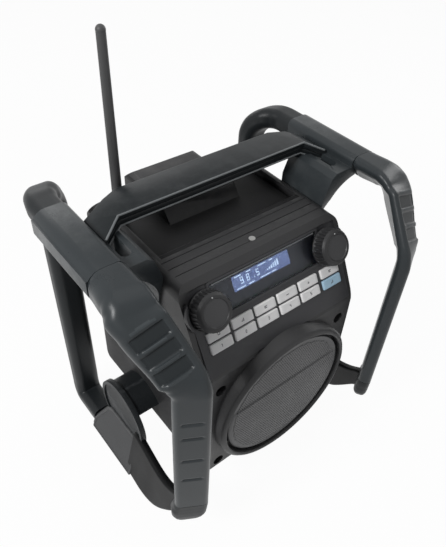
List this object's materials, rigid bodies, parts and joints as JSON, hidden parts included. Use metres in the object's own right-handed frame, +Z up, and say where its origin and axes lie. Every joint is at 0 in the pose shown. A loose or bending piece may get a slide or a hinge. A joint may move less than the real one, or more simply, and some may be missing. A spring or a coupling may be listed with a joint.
{
  "type": "jobsite radio",
  "caption": "Rugged worksite radio with a round front speaker, sloping control face, carrying handle and protective side loops.",
  "frame": {"origin": "on the floor under the middle of the whole object", "axes": "+X to the right seen from the front, -Y to the front with the speaker, +Z up"},
  "size_m": [0.3002, 0.2274, 0.417],
  "materials": {
    "housing": "satin moulded",
    "housing_dark": "fine texture",
    "panel": "fine texture",
    "display_glass": "smoked",
    "display_lit": "backlit",
    "lamp": "frosted",
    "board": "board",
    "rubber_black": "matt",
    "keys_grey": "soft satin",
    "key_blue": "soft satin",
    "knob": "soft satin",
    "steel": "plated",
    "screws": "zinc",
    "grille": "powder coat",
    "frame_metal": "black",
    "cone": "paper-like",
    "cage_rubber": "satin overmould",
    "cage_dark": "satin moulded"
  },
  "bodies": {
    "radio": {"front_cabinet": "housing", "rear_cabinet": "housing", "top_cover": "housing_dark", "battery_hood": "housing", "control_panel": "panel", "display_window": "display_glass", "display_module": "display_lit", "status_lamp": "lamp", "main_board": "board", "keypad_mat": "rubber_black", "volume_encoder": "steel", "tuning_encoder": "steel", "speaker_bezel": "housing_dark", "speaker_grille": "grille", "speaker_frame": "frame_metal", "front_screws": "screws", "handle_bar": "cage_rubber", "handle_under": "cage_dark", "left_top_beam": "cage_rubber", "right_top_beam": "cage_rubber", "left_front_grip": "cage_rubber", "right_front_grip": "cage_rubber", "left_foot_cap": "cage_dark", "right_foot_cap": "cage_dark", "left_bottom_rail": "cage_dark", "right_bottom_rail": "cage_dark", "left_foot_block": "cage_dark", "right_foot_block": "cage_dark", "left_rear_arm": "cage_dark", "right_rear_arm": "cage_dark", "battery_contacts": "steel", "power_socket": "steel", "antenna_base": "rubber_black", "antenna_mast": "rubber_black"},
    "button_1_upper_key": {"button_1_upper": "keys_grey"},
    "button_1_lower_key": {"button_1_lower": "keys_grey"},
    "button_2_upper_key": {"button_2_upper": "keys_grey"},
    "button_2_lower_key": {"button_2_lower": "keys_grey"},
    "button_3_upper_key": {"button_3_upper": "keys_grey"},
    "button_3_lower_key": {"button_3_lower": "keys_grey"},
    "button_4_upper_key": {"button_4_upper": "keys_grey"},
    "button_4_lower_key": {"button_4_lower": "keys_grey"},
    "button_5_upper_key": {"button_5_upper": "keys_grey"},
    "button_5_lower_key": {"button_5_lower": "keys_grey"},
    "button_6_upper_key": {"button_6_upper": "keys_grey"},
    "button_6_lower_key": {"button_6_lower": "key_blue"},
    "volume_dial": {"volume_knob": "knob"},
    "tuning_dial": {"tuning_knob": "knob"},
    "door": {"battery_door": "housing"},
    "latch": {"door_latch": "housing_dark"},
    "inlet_cap": {"socket_cover": "rubber_black"},
    "cone": {"speaker_cone": "cone"}
  },
  "joints": [
    {"name": "button_1_upper_press", "type": "slide", "parent": "radio", "child": "button_1_upper_key", "axis": [0, 0.866, -0.5], "range_m": [0, 0.001], "stiffness_N_per_m": 600, "springref_m": -0.0004},
    {"name": "button_1_lower_press", "type": "slide", "parent": "radio", "child": "button_1_lower_key", "axis": [0, 0.866, -0.5], "range_m": [0, 0.001], "stiffness_N_per_m": 600, "springref_m": -0.0004},
    {"name": "button_2_upper_press", "type": "slide", "parent": "radio", "child": "button_2_upper_key", "axis": [0, 0.866, -0.5], "range_m": [0, 0.001], "stiffness_N_per_m": 600, "springref_m": -0.0004},
    {"name": "button_2_lower_press", "type": "slide", "parent": "radio", "child": "button_2_lower_key", "axis": [0, 0.866, -0.5], "range_m": [0, 0.001], "stiffness_N_per_m": 600, "springref_m": -0.0004},
    {"name": "button_3_upper_press", "type": "slide", "parent": "radio", "child": "button_3_upper_key", "axis": [0, 0.866, -0.5], "range_m": [0, 0.001], "stiffness_N_per_m": 600, "springref_m": -0.0004},
    {"name": "button_3_lower_press", "type": "slide", "parent": "radio", "child": "button_3_lower_key", "axis": [0, 0.866, -0.5], "range_m": [0, 0.001], "stiffness_N_per_m": 600, "springref_m": -0.0004},
    {"name": "button_4_upper_press", "type": "slide", "parent": "radio", "child": "button_4_upper_key", "axis": [0, 0.866, -0.5], "range_m": [0, 0.001], "stiffness_N_per_m": 600, "springref_m": -0.0004},
    {"name": "button_4_lower_press", "type": "slide", "parent": "radio", "child": "button_4_lower_key", "axis": [0, 0.866, -0.5], "range_m": [0, 0.001], "stiffness_N_per_m": 600, "springref_m": -0.0004},
    {"name": "button_5_upper_press", "type": "slide", "parent": "radio", "child": "button_5_upper_key", "axis": [0, 0.866, -0.5], "range_m": [0, 0.001], "stiffness_N_per_m": 600, "springref_m": -0.0004},
    {"name": "button_5_lower_press", "type": "slide", "parent": "radio", "child": "button_5_lower_key", "axis": [0, 0.866, -0.5], "range_m": [0, 0.001], "stiffness_N_per_m": 600, "springref_m": -0.0004},
    {"name": "button_6_upper_press", "type": "slide", "parent": "radio", "child": "button_6_upper_key", "axis": [0, 0.866, -0.5], "range_m": [0, 0.001], "stiffness_N_per_m": 600, "springref_m": -0.0004},
    {"name": "button_6_lower_press", "type": "slide", "parent": "radio", "child": "button_6_lower_key", "axis": [0, 0.866, -0.5], "range_m": [0, 0.001], "stiffness_N_per_m": 600, "springref_m": -0.0004},
    {"name": "volume_turn", "type": "hinge", "parent": "radio", "child": "volume_dial", "pos_m": [-0.065, -0.05898, 0.24246], "axis": [0, -0.866, 0.5], "continuous": true},
    {"name": "tuning_turn", "type": "hinge", "parent": "radio", "child": "tuning_dial", "pos_m": [0.065, -0.05898, 0.24246], "axis": [0, -0.866, 0.5], "continuous": true},
    {"name": "battery_door_hinge", "type": "hinge", "parent": "radio", "child": "door", "pos_m": [0, 0.099, 0.076], "axis": [-1, 0, 0], "range_deg": [0, 100]},
    {"name": "door_latch_turn", "type": "hinge", "parent": "door", "child": "latch", "pos_m": [0, 0.0995, 0.208], "axis": [0, 1, 0], "range_deg": [0, 90]},
    {"name": "inlet_cap_hinge", "type": "hinge", "parent": "radio", "child": "inlet_cap", "pos_m": [0.07, 0.098, 0.0844], "axis": [-1, 0, 0], "range_deg": [0, 110]},
    {"name": "cone_stroke", "type": "slide", "parent": "radio", "child": "cone", "axis": [0, -1, 0], "range_m": [-0.0012, 0.0012], "stiffness_N_per_m": 2500}
  ]
}
